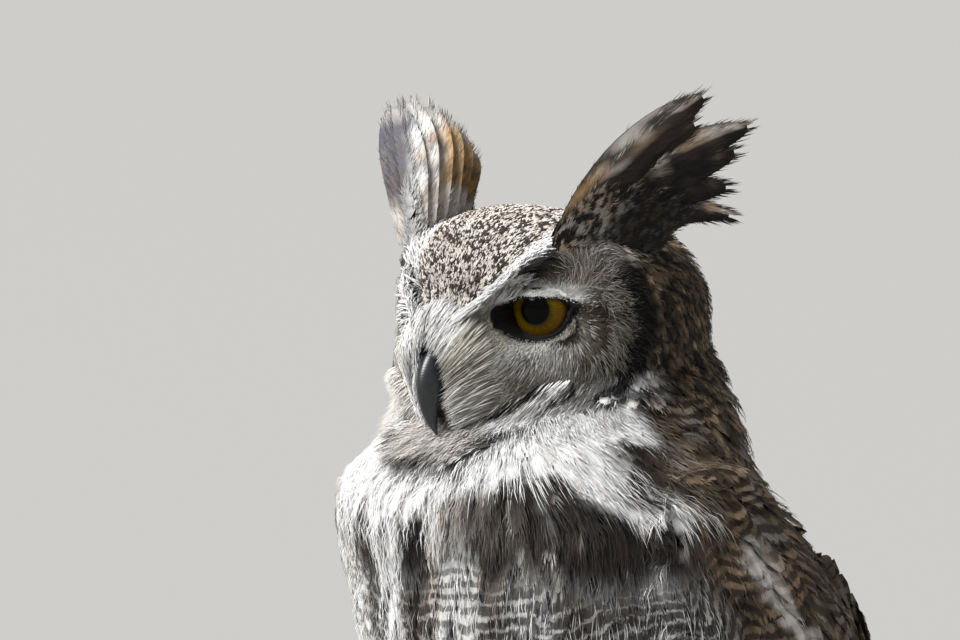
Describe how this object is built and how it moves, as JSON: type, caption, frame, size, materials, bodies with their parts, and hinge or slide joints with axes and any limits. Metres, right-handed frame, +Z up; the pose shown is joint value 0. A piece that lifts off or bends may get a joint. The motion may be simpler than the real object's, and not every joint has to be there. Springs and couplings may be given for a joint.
{
  "type": "great horned owl model",
  "caption": "Life-size still model of a great horned owl, standing with folded wings and its head turned to its left.",
  "frame": {"origin": "middle of the outline as seen from above, on the floor under the feet", "axes": "+Z up, -Y the way the body faces, +X to the bird's left"},
  "size_m": [0.206, 0.2952, 0.4743],
  "materials": {
    "plumage_grey": "soft matt feathers, mottled grey, white and dark brown",
    "plumage_dark": "smooth matt feathers, dark brown with paler bars",
    "plumage_white": "short soft feathers, buff white",
    "plumage_buff": "long stiff tuft feathers, dark with buff and white edges",
    "horn": "smooth dark slate-grey horn",
    "eye": "wet and glossy, golden iris and black pupil"
  },
  "bodies": {
    "root": {"bill_lower": "horn", "bill_upper": "horn", "ear_tuft_left": "plumage_buff", "ear_tuft_right": "plumage_buff", "eye_left": "eye", "eye_right": "eye", "foot_left": "plumage_white", "foot_right": "plumage_white", "head": "plumage_grey", "neck": "plumage_grey", "shank_left": "plumage_white", "shank_right": "plumage_white", "tail": "plumage_dark", "talon_hind_left": "horn", "talon_hind_right": "horn", "talon_inner_left": "horn", "talon_inner_right": "horn", "talon_middle_left": "horn", "talon_middle_right": "horn", "talon_outer_left": "horn", "talon_outer_right": "horn", "thigh_left": "plumage_white", "thigh_right": "plumage_white", "toe_hind_left": "plumage_white", "toe_hind_right": "plumage_white", "toe_inner_left": "plumage_white", "toe_inner_right": "plumage_white", "toe_middle_left": "plumage_white", "toe_middle_right": "plumage_white", "toe_outer_left": "plumage_white", "toe_outer_right": "plumage_white", "trunk": "plumage_grey", "wing_left": "plumage_dark", "wing_right": "plumage_dark"}
  },
  "joints": []
}
